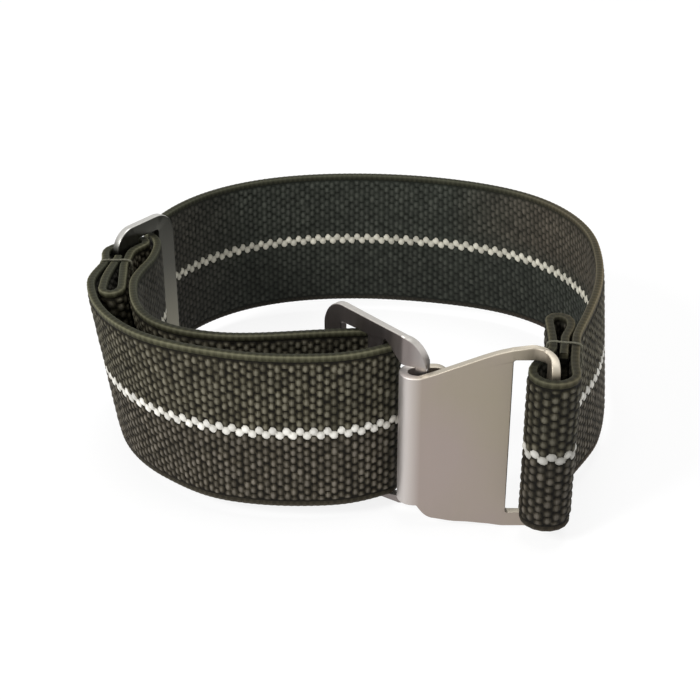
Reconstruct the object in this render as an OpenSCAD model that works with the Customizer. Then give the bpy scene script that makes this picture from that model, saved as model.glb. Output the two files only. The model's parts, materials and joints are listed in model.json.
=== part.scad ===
// Nylon watch strap: one woven band closed into a wrist loop by a folded hook plate,
// a slotted receiver plate and a sliding keeper, drawn as it stands on its long edges.
// Plan places are drawn looking down on the loop: X to the right, Y to the back.
// All lengths are millimetres and all angles are degrees.

/* [Webbing] */
// Width of the webbing, which is also the lug width it fits
band_w = 20; // [16:0.5:24]
// Thickness of one layer of webbing
band_t = 1.25; // [1:0.05:1.4]
// Gap between layers that are sewn together
layer_gap = 0.05; // [0.02:0.01:0.1]

/* [Wrist loop] */
// Middle of the webbing at the rightmost point of the loop
right_x = 32.45; // [30:0.25:36]
// How far back the rightmost point lies
right_y = 2.8; // [0:0.5:6]
// Middle of the webbing at the back of the loop, where the watch head goes
back_y = 27.65; // [25:0.25:33]
// Place of the rearmost point from side to side
back_x = 0.6; // [-3:0.25:4]
// Middle of the outer layer at the front of the loop
front_y = -28.2; // [-29:0.1:-27.6]
// Place of the frontmost point from side to side
front_x = -6.2; // [-9:0.25:-4]
// Distance from the outer layer to the inner layer in the front
front_spacing = 5.6; // [4.5:0.1:6.5]
// Distance from the frontmost point to the inner layer's place there, towards the left
inner_front_left = 10; // [8:0.5:12]
// Distance from the slider's row of stitches to the inner layer at the side
inner_side_gap = 4.12; // [3.9:0.02:4.4]
// Distance from that row to the place where the inner layer runs straight back
inner_side_down = 2.2; // [1.6:0.1:3]
// Distance from the slider's upper end to the webbing behind it, towards the left
past_slider_left = 1.9; // [1.7:0.1:2.2]
// Distance from the slider's upper end to that place, towards the back
past_slider_up = 2.3; // [2:0.1:3]

/* [Steel sheet] */
// Thickness of the sheet in all three steel pieces
steel_t = 1; // [0.8:0.05:1.1]
// Height of the rails above and below each slot
rail_h = 1.9; // [1.4:0.1:2.6]
// Room that a slot leaves above and below the webbing, in all
slot_room = 0.6; // [0.4:0.05:1.2]
// Height of the webbing above the lower rail
band_lift = 0.1; // [0.05:0.01:0.2]
// Radius of the outer corners
corner_r = 3; // [2:0.25:4]
// Radius of the corners in a slot
slot_corner_r = 0.35; // [0.2:0.05:0.4]

/* [Receiver plate] */
// Middle of the receiver's centre bar, from side to side
receiver_x = 3.24; // [2.5:0.1:4]
// Middle of the receiver's centre bar, front to back
receiver_y = -23.9; // [-24.4:0.1:-23.4]
// Direction in which the receiver runs, seen from above
receiver_dir = -46; // [-50:1:-42]
// Width of the bar at the free end of the receiver
receiver_end_bar = 2.9; // [2:0.1:4]
// Width of the slot that the inner layer goes through
receiver_left_slot = 4.4; // [4.2:0.1:5.2]
// Width of the centre bar that the webbing is looped over
receiver_mid_bar = 2.5; // [2:0.1:3]
// Width of the slot that the hook goes through
receiver_right_slot = 4.4; // [4.2:0.1:5]
// Width of the bar that the hook takes hold of
catch_bar = 1.5; // [1.2:0.1:1.8]
// Angle by which the catch bar is bent towards the hook
catch_bend = 26; // [16:1:32]
// Length of flat sheet between that bend and the catch bar
catch_flat = 0.9; // [0.7:0.1:1.4]

/* [Hook plate] */
// Height of the folded tongue, which passes through the receiver's slot
tongue_h = 17; // [14:0.5:18]
// Length of the lip behind the fold
lip_len = 3.6; // [2.5:0.1:5]
// Length of the flat face from the fold to the curl
face_len = 12.4; // [11.5:0.1:16]
// Height of the plate just past the tongue
shoulder_h = 20; // [18.5:0.5:21]
// Distance from the fold to the strap slot
strap_slot_at = 10.3; // [9.4:0.1:10.5]
// Bend radius of the curl at the strap end, to the middle of the sheet
curl_r = 2.25; // [2.1:0.05:2.6]
// Part of the curl's quarter turn that belongs to the strap bar
bar_turn = 33; // [25:1:36]
// Straight length at the end of the curl
curl_tip = 1.1; // [0.8:0.1:1.3]

/* [Slider] */
// Lower end of the slider, from side to side
slider_x = -30.3; // [-31:0.1:-30]
// Lower end of the slider, front to back
slider_y = 0.3; // [-0.5:0.1:1]
// Direction in which the slider runs, seen from above
slider_dir = 54; // [50:1:58]
// Width of the bar that the sewn end is looped over
slider_sewn_bar = 3.9; // [3.4:0.1:4.4]
// Width of the slot
slider_slot = 3.8; // [3.7:0.05:4.4]
// Width of the free bar
slider_free_bar = 2.9; // [2:0.1:3.5]

/* [Fits] */
// Gap between a bar's corners and the webbing looped over it
bar_gap = 0.15; // [0.1:0.05:0.3]
// Gap between the hook's strap bar and the webbing looped over it
hook_loop_gap = 0.35; // [0.25:0.05:0.5]
// Room for the catch bar in the hook's fold, in all
fold_room = 0.1; // [0.06:0.01:0.2]
// Distance that the catch bar stands off the inside of the fold
catch_gap = 0.3; // [0.2:0.05:0.45]
// Gap between the webbing and its neighbours in the slider's slot
slot_gap = 0.2; // [0.15:0.01:0.25]

/* [Sewn ends] */
// Distance from the middle of the hook's strap bar to its row of stitches
hook_stitch_up = 6.05; // [5.5:0.05:7]
// Distance that row lies to the right of the strap bar
hook_stitch_over = 1.85; // [1.6:0.05:2.1]
// Direction of the sewn layers there, seen from above
hook_stitch_dir = 80; // [76:1:84]
// Distance from that row to the middle of the rolled end
hook_roll_len = 6.8; // [6:0.1:8]
// Bend radius of the rolled end, to the middle of the webbing
hook_roll_r = 1.15; // [1:0.05:1.2]
// Distance from the slider's lower end to its row of stitches
slider_stitch_down = 3.1; // [2.9:0.05:4]
// Distance that row lies to the right of the slider's lower end
slider_stitch_over = 0.58; // [0.5:0.02:0.62]
// Distance from that row to the middle of the rolled end
slider_roll_len = 8; // [7:0.1:9]
// Bend radius of the rolled end, to the middle of the webbing
slider_roll_r = 1.05; // [0.9:0.05:1.1]
// Length of the cut end past a row of stitches
raw_end = 1.8; // [1.2:0.1:1.9]
// Diameter of the sewing thread
thread_d = 0.45; // [0.3:0.05:0.6]
// Height of one stitch
stitch_pitch = 2; // [1.5:0.1:3]

/* [Hidden] */

webbing_colour = "#4b483a";
inner_colour = "#3a3c37";
thread_colour = "#2c2c26";
hook_colour = "#9b8e85";
plate_colour = "#77777a";

// Heights: the steel stands on its lower rails, and the webbing lies a little above them
slot_h = band_w + slot_room;
plate_h = slot_h + 2 * rail_h;
band_z = rail_h + band_lift;
far = 60;
sliver = 0.01;

// Steps in a quarter turn and in a long bend of the webbing
turn_steps = 10;
bow_steps = 22;

// A place on a path is [x, y, heading]

function along(a) = [cos(a), sin(a)];
function leftward(a) = [-sin(a), cos(a)];
function at(p) = [p[0], p[1]];
function tail(list) = [for (i = [1:1:len(list) - 1]) list[i]];
function reverse(list) = [for (i = [len(list) - 1:-1:0]) list[i]];

// A straight run from a point
function run(p, heading, length) =
    [[p[0], p[1], heading], concat(p + length * along(heading), [heading])];

// An arc about a centre, from one angle to another; it turns left where the angle grows
function arc(centre, r, from, to) =
    let (side = to > from ? 90 : -90, n = ceil(abs(to - from) / 90 * turn_steps))
    [for (i = [0:n]) let (a = from + (to - from) * i / n) concat(centre + r * along(a), [a + side])];

// A smooth bow between two headings, as the four control points of a cubic curve.
// Its handles are shares of the chord, so it keeps its form when its ends move.
function bow(p, h, share_p, q, g, share_q) =
    let (chord = norm(q - p))
    [p, p + chord * share_p * along(h), q - chord * share_q * along(g), q];

function bow_point(b, t) =
    pow(1 - t, 3) * b[0] + 3 * pow(1 - t, 2) * t * b[1] + 3 * (1 - t) * t * t * b[2] + pow(t, 3) * b[3];

function bow_slope(b, t) =
    pow(1 - t, 2) * (b[1] - b[0]) + 2 * (1 - t) * t * (b[2] - b[1]) + t * t * (b[3] - b[2]);

function bow_heading(b, t) = let (s = bow_slope(b, t)) atan2(s[1], s[0]);

// The places on a bow between two shares of it
function bow_path(b, from = 0, to = 1, n = bow_steps) =
    [for (i = [0:n]) let (t = from + (to - from) * i / n) concat(bow_point(b, t), [bow_heading(b, t)])];

// The outline of a strip of sheet or webbing that is t thick along a path
function strip(path, t) = concat(
    [for (p = path) at(p) + t / 2 * leftward(p[2])],
    [for (p = reverse(path)) at(p) - t / 2 * leftward(p[2])]);

// Receiver: distances are measured along the sheet from its free end

half_mid_bar = receiver_mid_bar / 2;
left_slot_at = receiver_end_bar;
mid_bar_at = left_slot_at + receiver_left_slot;
right_slot_at = mid_bar_at + receiver_mid_bar;
catch_bar_at = right_slot_at + receiver_right_slot;
receiver_len = catch_bar_at + catch_bar;
catch_bend_r = 1.5 * steel_t;
catch_bend_len = catch_bend_r * catch_bend * PI / 180;
catch_bend_at = catch_bar_at - catch_flat - catch_bend_len;

receiver_pivot = [receiver_x, receiver_y];
receiver_loop_r = norm([half_mid_bar, steel_t / 2]) + bar_gap + band_t / 2;

function on_receiver(s) = receiver_pivot + (s - mid_bar_at - half_mid_bar) * along(receiver_dir);

catch_bend_centre = on_receiver(catch_bend_at) + catch_bend_r * leftward(receiver_dir);
catch_dir = receiver_dir + catch_bend;
catch_flat_from = catch_bend_centre + catch_bend_r * along(catch_dir - 90);
catch_bar_centre = catch_flat_from + (catch_flat + catch_bar / 2) * along(catch_dir);

receiver_bent_end = concat(
    arc(catch_bend_centre, catch_bend_r, receiver_dir - 90, catch_dir - 90),
    tail(run(catch_flat_from, catch_dir, catch_flat + catch_bar)));
receiver_path = concat(run(on_receiver(0), receiver_dir, catch_bend_at), tail(receiver_bent_end));

// Hook: its fold goes round the catch bar, and its curl carries the strap bar

fold_inner_r = norm([catch_bar, steel_t]) / 2 + fold_room / 2;
fold_r = fold_inner_r + steel_t / 2;
fold_centre = catch_bar_centre - [catch_gap, 0];
face_y = fold_centre[1] - fold_r;
curl_x = fold_centre[0] + face_len;
curl_centre = [curl_x, face_y - curl_r];
curl_end = [curl_x + curl_r, curl_centre[1]];
strap_slot_x = fold_centre[0] + strap_slot_at;

tongue_path = concat(
    run([fold_centre[0] + lip_len, fold_centre[1] + fold_r], 180, lip_len),
    tail(arc(fold_centre, fold_r, 90, 270)));
face_path = concat(
    run([fold_centre[0], face_y], 0, face_len),
    tail(arc(curl_centre, curl_r, 90, 0)),
    tail(run(curl_end, -90, curl_tip)));

// The hook's strap bar and the webbing looped over it
bar_middle = [0, (curl_r * sin(bar_turn) - curl_tip) / 2];
hook_pivot = curl_end + bar_middle;
hook_bar_reach = max(norm([steel_t / 2, curl_tip + bar_middle[1]]),
                     norm(curl_centre + (curl_r + steel_t / 2) * along(bar_turn) - hook_pivot));
hook_loop_r = hook_bar_reach + hook_loop_gap + band_t / 2;

// Slider: distances are measured along the sheet from its lower end

slider_origin = [slider_x, slider_y];
slider_len = slider_sewn_bar + slider_slot + slider_free_bar;
slider_loop_r = steel_t / 2 + bar_gap + band_t / 2;

function on_slider(u, v) = slider_origin + u * along(slider_dir) + v * leftward(slider_dir);

// Where the inner layer crosses the slot, and its direction there
cross_turn = 78;
cross_dir = slider_dir + cross_turn;
cross_half = band_t / 2 / sin(cross_turn) + steel_t / 2 / tan(cross_turn);
cross_at = on_slider(slider_sewn_bar + slider_loop_r + band_t / 2 + slot_gap + cross_half, 0);

// Sewn end at the hook

layer_pitch = band_t + layer_gap;
hook_stitch = hook_pivot + [hook_stitch_over, hook_stitch_up];
hook_strand = hook_stitch - layer_pitch * leftward(hook_stitch_dir);
hook_return = hook_stitch + layer_pitch * leftward(hook_stitch_dir);
hook_roll = hook_stitch + hook_roll_len * along(hook_stitch_dir + 5);
hook_roll_turn = hook_stitch_dir + 5;
hook_lead = 2;

hook_end_path = concat(
    run(hook_strand + hook_lead * along(hook_stitch_dir), hook_stitch_dir + 180, hook_lead),
    tail(bow_path(bow(hook_strand, hook_stitch_dir - 180, 0.33,
                      hook_pivot + [hook_loop_r, 0], -90, 0.33))),
    tail(arc(hook_pivot, hook_loop_r, 0, -180)),
    tail(bow_path(bow(hook_pivot - [hook_loop_r, 0], 90, 0.36, hook_return, hook_stitch_dir, 0.33))),
    tail(bow_path(bow(hook_return, hook_stitch_dir, 0.33,
                      hook_roll + hook_roll_r * along(hook_roll_turn + 90), hook_roll_turn, 0.33))),
    tail(arc(hook_roll, hook_roll_r, hook_roll_turn + 90, hook_roll_turn - 90)),
    tail(bow_path(bow(hook_roll + hook_roll_r * along(hook_roll_turn - 90), hook_roll_turn - 180, 0.25,
                      hook_stitch + hook_lead * along(hook_stitch_dir), hook_stitch_dir - 180, 0.5))),
    tail(run(hook_stitch + hook_lead * along(hook_stitch_dir), hook_stitch_dir - 180,
             hook_lead + raw_end)));

// Sewn end at the slider

slider_stitch = slider_origin + [slider_stitch_over, -slider_stitch_down];
slider_strand = slider_stitch - [layer_pitch, 0];
slider_return = slider_stitch + [layer_pitch, 0];
slider_roll = slider_stitch + slider_roll_len * along(-77);
slider_lead = 2;
beside_bar = slider_sewn_bar * 0.62;
within_bar = slider_sewn_bar * 0.75;

// Where the strand passes the slider's lower corner
round_corner_dir = 80;
round_corner = on_slider(0, steel_t / 2) + (band_t / 2 + bar_gap) * leftward(round_corner_dir);

slider_end_path = concat(
    run(slider_strand - [0, slider_lead], 90, slider_lead),
    tail(bow_path(bow(slider_strand, 96, 0.4, round_corner, round_corner_dir, 0.3), n = 10)),
    tail(bow_path(bow(round_corner, round_corner_dir, 0.4,
                      on_slider(beside_bar, slider_loop_r), slider_dir, 0.33), n = 10)),
    tail(run(on_slider(beside_bar, slider_loop_r), slider_dir, slider_sewn_bar - beside_bar)),
    tail(arc(on_slider(slider_sewn_bar, 0), slider_loop_r, slider_dir + 90, slider_dir - 90)),
    tail(run(on_slider(slider_sewn_bar, -slider_loop_r), slider_dir - 180, slider_sewn_bar - within_bar)),
    tail(bow_path(bow(on_slider(within_bar, -slider_loop_r), slider_dir - 180, 0.3,
                      slider_return, -90, 0.6))),
    tail(bow_path(bow(slider_return, -90, 0.33, slider_roll + [slider_roll_r, 0], -90, 0.33))),
    tail(arc(slider_roll, slider_roll_r, 0, -180)),
    tail(bow_path(bow(slider_roll - [slider_roll_r, 0], 90, 0.33, slider_stitch, 90, 0.42))),
    tail(run(slider_stitch, 90, raw_end)));

// Bows of the wrist loop, and the shares at which each is cut into nodes

outer_leave = 208;
inner_leave = 180;
front_point = [front_x, front_y];
outer_start = receiver_pivot + receiver_loop_r * along(outer_leave + 90);
inner_start = receiver_pivot + receiver_loop_r * along(inner_leave - 90);
inner_front = front_point + [-inner_front_left, front_spacing];
inner_side = slider_stitch + [inner_side_gap, -inner_side_down];
past_slider = on_slider(slider_len, 0) + [-past_slider_left, past_slider_up];
back_point = [back_x, back_y];
right_point = [right_x, right_y];
outer_left_from = slider_strand - [0, slider_lead];
right_from = hook_strand + hook_lead * along(hook_stitch_dir);

outer_front_bow = bow(outer_start, outer_leave, 0.4, front_point, 180, 0.46);
outer_left_bow = bow(front_point, 180, 0.387, outer_left_from, 90, 0.44);
inner_front_bow = bow(inner_start, inner_leave, 0.41, inner_front, 165, 0.267);
inner_left_bow = bow(inner_front, 165, 0.386, inner_side, 90, 0.446);
to_slot_bow = bow(inner_side, 90, 0.36, cross_at, cross_dir, 0.31);
from_slot_bow = bow(cross_at, cross_dir, 0.44, past_slider, 70, 0.4);
back_left_bow = bow(past_slider, 70, 0.261, back_point, 0, 0.538);
back_right_bow = bow(back_point, 0, 0.43, right_point, -90, 0.37);
right_bow = bow(right_from, hook_stitch_dir, 0.118, right_point, 90, 0.555);

outer_cut = 0.56;
inner_cut = 0.5;
back_cut = 0.3;

outer_front_path = concat(
    arc(receiver_pivot, receiver_loop_r, inner_leave - 90, outer_leave - 270),
    tail(bow_path(outer_front_bow)),
    tail(bow_path(outer_left_bow, 0, outer_cut)));
outer_left_path = bow_path(outer_left_bow, outer_cut, 1);
inner_front_path = concat(bow_path(inner_front_bow), tail(bow_path(inner_left_bow, 0, inner_cut)));
inner_left_path = concat(
    bow_path(inner_left_bow, inner_cut, 1),
    tail(bow_path(to_slot_bow)),
    tail(bow_path(from_slot_bow)),
    tail(bow_path(back_left_bow, 0, back_cut, 8)));
back_path = concat(bow_path(back_left_bow, back_cut, 1), tail(bow_path(back_right_bow, n = 28)));
right_path = bow_path(right_bow, n = 28);

// The frame's origin is under the middle of the whole strap
rim = concat(strip(hook_end_path, band_t), strip(slider_end_path, band_t),
             strip(back_path, band_t), strip(right_path, band_t), strip(outer_left_path, band_t));
mid_x = (max([for (p = rim) p[0]]) + min([for (p = rim) p[0]])) / 2;
mid_y = (max([for (p = rim) p[1]]) + min([for (p = rim) p[1]])) / 2;

// Outlines seen from the front: along the sheet and up

function rounded_corner(centre, r, from) =
    [for (i = [0:turn_steps]) centre + r * along(from + 90 * i / turn_steps)];

function rounded_box(x0, x1, z0, z1, r) = concat(
    rounded_corner([x1 - r, z0 + r], r, -90), rounded_corner([x1 - r, z1 - r], r, 0),
    rounded_corner([x0 + r, z1 - r], r, 90), rounded_corner([x0 + r, z0 + r], r, 180));

// Half of the hook's face, from the tongue past the shoulder to the strap end
mid_z = plate_h / 2;
shoulder_run = 1.6;
face_edge = concat(
    bow_path(bow([fold_centre[0], tongue_h / 2], 65, 0.4,
                 [fold_centre[0] + shoulder_run, shoulder_h / 2], 14, 0.4), n = 8),
    tail(bow_path(bow([fold_centre[0] + shoulder_run, shoulder_h / 2], 14, 0.35,
                      [strap_slot_x, mid_z], 0, 0.2), n = 14)),
    [[far, mid_z, 0]]);
face_outline = concat(
    [for (p = face_edge) [p[0], mid_z + p[1]]],
    [for (p = reverse(face_edge)) [p[0], mid_z - p[1]]]);

module place() {
    translate([-mid_x, -mid_y, 0]) children();
}

// A strip of webbing on edge
module webbing(path) {
    place() translate([0, 0, band_z]) linear_extrude(band_w) polygon(strip(path, band_t));
}

// A strip of sheet on edge, bent along a path
module sheet(path, z0, z1, t = steel_t) {
    translate([0, 0, z0]) linear_extrude(z1 - z0) polygon(strip(path, t));
}

// An outline seen from the front, thick enough to cut through everything
module through_cut(outline) {
    translate([0, far, 0]) rotate([90, 0, 0]) linear_extrude(2 * far) polygon(outline);
}

module band_back() {
    color(inner_colour) webbing(back_path);
}

module band_right() {
    color(webbing_colour) webbing(right_path);
}

// The outer layer starts with the bight over the receiver's centre bar
module band_outer_front() {
    color(webbing_colour) webbing(outer_front_path);
}

module band_outer_left() {
    color(webbing_colour) webbing(outer_left_path);
}

module band_inner_front() {
    color(inner_colour) webbing(inner_front_path);
}

module band_inner_left() {
    color(inner_colour) webbing(inner_left_path);
}

module hook_end_loop() {
    color(webbing_colour) webbing(hook_end_path);
}

module slider_end_loop() {
    color(webbing_colour) webbing(slider_end_path);
}

// One row of lock stitches through the three layers of a sewn end: a thread through each
// needle hole, and a float on both faces that joins it to the next
module stitch_row(middle, dir) {
    holes = floor((band_w - 2) / stitch_pitch) + 1;
    first = band_z + (band_w - (holes - 1) * stitch_pitch) / 2;
    half = layer_pitch + band_t / 2 + thread_d / 2;
    place() translate([middle[0], middle[1], 0]) rotate([0, 0, dir]) {
        for (i = [0:holes - 1]) translate([0, 0, first + i * stitch_pitch]) {
            rotate([90, 0, 0]) cylinder(d = thread_d, h = 2 * half, center = true, $fn = 24);
            if (i < holes - 1) {
                for (side = [-1, 1]) translate([0, side * half, 0])
                    cylinder(d = thread_d, h = stitch_pitch, $fn = 24);
            }
        }
    }
}

module hook_end_stitching() {
    color(thread_colour) stitch_row(hook_stitch, hook_stitch_dir);
}

module slider_end_stitching() {
    color(thread_colour) stitch_row(slider_stitch, 90);
}

// The plate's face, with the strap slot running into its curl
module hook_face() {
    difference() {
        intersection() {
            sheet(face_path, 0, plate_h);
            through_cut(face_outline);
            rotate([0, 0, 90]) through_cut(
                rounded_box(curl_end[1] - curl_tip, far, 0, plate_h, corner_r));
        }
        intersection() {
            through_cut(rounded_box(strap_slot_x, far, rail_h, rail_h + slot_h, slot_corner_r));
            sheet(strap_slot_path, 0, plate_h, 3 * steel_t);
        }
    }
}

strap_slot_path = concat(
    run([strap_slot_x - sliver, face_y], 0, curl_x - strap_slot_x + sliver),
    tail(arc(curl_centre, curl_r, 90, bar_turn)));

// The folded tongue with its lip
module hook_tongue() {
    lip_corner_r = corner_r * 0.6;
    intersection() {
        sheet(tongue_path, 0, plate_h);
        through_cut(rounded_box(fold_centre[0] - far, fold_centre[0] + lip_len,
                                mid_z - tongue_h / 2, mid_z + tongue_h / 2, lip_corner_r));
    }
}

module hook_plate() {
    color(hook_colour) place() union() {
        hook_face();
        hook_tongue();
    }
}

module receiver_plate() {
    color(plate_colour) place() difference() {
        intersection() {
            sheet(receiver_path, 0, plate_h);
            along_receiver() through_cut(rounded_box(0, receiver_reach, 0, plate_h, corner_r));
        }
        along_receiver() through_cut(
            rounded_box(left_slot_at, mid_bar_at, rail_h, rail_h + slot_h, slot_corner_r));
        intersection() {
            along_receiver() through_cut(
                rounded_box(right_slot_at, far, rail_h, rail_h + slot_h, slot_corner_r));
            sheet(right_slot_path, 0, plate_h, 3 * steel_t);
        }
    }
}

// The receiver's length seen square to its flat part, as its bent end is foreshortened
receiver_reach = catch_bend_at + catch_bend_r * sin(catch_bend)
    + (catch_flat + catch_bar) * cos(catch_bend) + steel_t / 2 * sin(catch_bend);
right_slot_path = concat(
    run(on_receiver(right_slot_at - sliver), receiver_dir, catch_bend_at - right_slot_at + sliver),
    tail(arc(catch_bend_centre, catch_bend_r, receiver_dir - 90, catch_dir - 90)),
    tail(run(catch_flat_from, catch_dir, catch_flat)));

module along_receiver() {
    translate(concat(on_receiver(0), [0])) rotate([0, 0, receiver_dir]) children();
}

module slider_frame() {
    color(plate_colour) place() translate([slider_x, slider_y, 0]) rotate([0, 0, slider_dir])
        difference() {
            translate([0, steel_t / 2, 0]) rotate([90, 0, 0]) linear_extrude(steel_t)
                polygon(rounded_box(0, slider_len, 0, plate_h, corner_r));
            through_cut(rounded_box(slider_sewn_bar, slider_sewn_bar + slider_slot,
                                    rail_h, rail_h + slot_h, slot_corner_r));
        }
}

band_back();
band_right();
band_outer_front();
band_outer_left();
band_inner_front();
band_inner_left();
hook_end_loop();
hook_end_stitching();
slider_end_loop();
slider_end_stitching();
hook_plate();
receiver_plate();
slider_frame();
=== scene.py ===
"""Nylon watch strap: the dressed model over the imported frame. Plan lengths are millimetres, drawn
looking down on the loop as in the part's source, and become metres when a mesh is made."""

import json
import math

import bmesh
import bpy
import numpy as np
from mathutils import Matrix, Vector


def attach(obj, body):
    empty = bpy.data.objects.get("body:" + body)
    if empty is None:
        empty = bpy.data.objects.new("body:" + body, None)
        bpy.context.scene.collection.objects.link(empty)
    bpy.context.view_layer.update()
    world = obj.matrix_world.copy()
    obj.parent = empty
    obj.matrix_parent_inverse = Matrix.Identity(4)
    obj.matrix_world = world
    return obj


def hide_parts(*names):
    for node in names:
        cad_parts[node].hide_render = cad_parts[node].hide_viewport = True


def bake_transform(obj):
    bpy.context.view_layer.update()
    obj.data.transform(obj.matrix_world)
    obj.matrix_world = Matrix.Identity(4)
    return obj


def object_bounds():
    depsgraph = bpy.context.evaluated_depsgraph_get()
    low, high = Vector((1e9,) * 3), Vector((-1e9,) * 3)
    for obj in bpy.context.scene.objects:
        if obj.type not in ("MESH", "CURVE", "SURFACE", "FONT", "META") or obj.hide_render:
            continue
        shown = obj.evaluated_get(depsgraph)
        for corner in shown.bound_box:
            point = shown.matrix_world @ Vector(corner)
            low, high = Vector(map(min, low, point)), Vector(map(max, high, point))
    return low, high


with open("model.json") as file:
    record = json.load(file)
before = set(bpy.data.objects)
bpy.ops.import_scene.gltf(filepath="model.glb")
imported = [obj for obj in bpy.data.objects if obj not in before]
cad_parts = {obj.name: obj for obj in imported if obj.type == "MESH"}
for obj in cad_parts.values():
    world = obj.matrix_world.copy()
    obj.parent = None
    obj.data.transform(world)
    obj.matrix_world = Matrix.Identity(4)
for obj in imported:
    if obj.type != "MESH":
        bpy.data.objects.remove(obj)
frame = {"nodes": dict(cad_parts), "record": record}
CAD_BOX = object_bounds()
MM = 0.001

# The webbing and the sheet, as in the part's source
BAND_W, BAND_T, BAND_Z = 20.0, 1.25, 2.0
STEEL_T, PLATE_H = 1.0, 24.4
MID_Z = PLATE_H / 2
LAYER = 1.3                                 # from the middle of one sewn layer to the next
RAW_END = 1.8                               # length of the cut end past a row of stitches
BAR_GAP, HOOK_LOOP_GAP, SLOT_GAP = 0.15, 0.35, 0.2

# Places on the front, back and right of the loop. The webbing's outside at the last two meets the
# solids' box, which gives the frame's origin in the plan.
FRONT = np.array([-6.2, -28.2])
BACK = np.array([0.6, 27.65])
RIGHT = np.array([32.45, 2.8])
MID = np.array([RIGHT[0], BACK[1]]) + BAND_T / 2 - np.array(CAD_BOX[1][:2]) / MM


# Paths: arrays of x, y and heading in degrees

STEP = 0.05                                 # from one place to the next on a straight run
ARC_STEPS = 1.2                             # places on an arc, per degree
BOW_STEPS, TIP_STEPS = 400, 120             # places on a bow and round a rolled tip
SAME_PLACE = 1e-7


def along(a):
    a = math.radians(a)
    return np.array([math.cos(a), math.sin(a)])


def leftward(a):
    a = math.radians(a)
    return np.array([-math.sin(a), math.cos(a)])


def run(p, heading, length):
    t = np.linspace(0, length, max(2, int(length / STEP)))[:, None]
    xy = np.asarray(p) + t * along(heading)
    return np.column_stack([xy, np.full(len(xy), float(heading))])


def arc(centre, r, a0, a1):
    a = np.linspace(a0, a1, max(8, int(abs(a1 - a0) * ARC_STEPS)))
    rad = np.radians(a)
    xy = np.asarray(centre) + r * np.column_stack([np.cos(rad), np.sin(rad)])
    return np.column_stack([xy, a + (90 if a1 > a0 else -90)])


def bow(p, h, share_p, q, g, share_q, start=0.0, end=1.0):
    """A cubic bow from p with heading h to q with heading g. Its handles are shares of the chord."""
    p, q = np.asarray(p, float), np.asarray(q, float)
    chord = np.linalg.norm(q - p)
    b = [p, p + chord * share_p * along(h), q - chord * share_q * along(g), q]
    t = np.linspace(start, end, BOW_STEPS)[:, None]
    xy = (1 - t) ** 3 * b[0] + 3 * (1 - t) ** 2 * t * b[1] + 3 * (1 - t) * t * t * b[2] + t ** 3 * b[3]
    d = (1 - t) ** 2 * (b[1] - b[0]) + 2 * (1 - t) * t * (b[2] - b[1]) + t * t * (b[3] - b[2])
    return np.column_stack([xy, np.degrees(np.arctan2(d[:, 1], d[:, 0]))])


def drop(centre, r, turn, stretch=1.3):
    """Round the tip of a rolled end that points in the direction turn."""
    a = np.radians(np.linspace(90, -90, TIP_STEPS))[:, None]
    ahead, left = along(turn), leftward(turn)
    xy = centre - (stretch - 1) * r * ahead + stretch * r * np.cos(a) * ahead + r * np.sin(a) * left
    d = stretch * np.sin(a) * ahead - np.cos(a) * left
    return np.column_stack([xy, np.degrees(np.arctan2(d[:, 1], d[:, 0]))])


def join(*paths):
    return np.vstack([paths[0]] + [p[1:] for p in paths[1:]])


def backwards(path):
    p = path[::-1].copy()
    p[:, 2] += 180
    return p


def travelled(points):
    """The distance gone at each of a line of points."""
    step = np.linalg.norm(np.diff(points, axis=0), axis=1)
    return np.concatenate([[0], np.cumsum(step)])


def resample(path, shares):
    """Places on a path at shares of its length: x, y, heading in radians; and its length."""
    step = np.linalg.norm(np.diff(path[:, :2], axis=0), axis=1)
    path = path[np.concatenate([[True], step > SAME_PLACE])]
    s = travelled(path[:, :2])
    heading = np.unwrap(np.radians(path[:, 2]))
    at = shares * s[-1]
    places = [np.interp(at, s, values) for values in (path[:, 0], path[:, 1], heading)]
    return np.column_stack(places), s[-1]


def joint_place(name):
    """Where the axis of a joint stands in the plan."""
    joint = next(j for j in frame["record"]["behaviour"]["joints"] if j["name"] == name)
    return np.array(joint["pos_m"][:2]) / MM + MID


# Receiver: the webbing comes from the inner layer, rounds the centre bar and leaves as the outer one
RECEIVER_PIVOT = joint_place("receiver_swing")
MID_BAR = 2.5
RECEIVER_LOOP_R = math.hypot(MID_BAR / 2, STEEL_T / 2) + BAR_GAP + BAND_T / 2
OUTER_DIR, INNER_DIR = 208, 180
OUTER_START = RECEIVER_PIVOT + RECEIVER_LOOP_R * along(OUTER_DIR + 90)
INNER_START = RECEIVER_PIVOT + RECEIVER_LOOP_R * along(INNER_DIR - 90)

# Hook: a flat face from the fold to the curl, which carries the strap bar. One sewn end goes round it.
HOOK_PIVOT = joint_place("hook_turn")
FACE_LEN, CURL_R, CURL_TIP, BAR_TURN = 12.4, 2.25, 1.1, 33
HOOK_FOLD_X = HOOK_PIVOT[0] - CURL_R - FACE_LEN
BAR_MIDDLE = (CURL_R * along(BAR_TURN)[1] - CURL_TIP) / 2
BAR_CORNER = (CURL_R + STEEL_T / 2) * along(BAR_TURN) - [CURL_R, BAR_MIDDLE]
HOOK_LOOP_R = np.linalg.norm(BAR_CORNER) + HOOK_LOOP_GAP + BAND_T / 2

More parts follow.
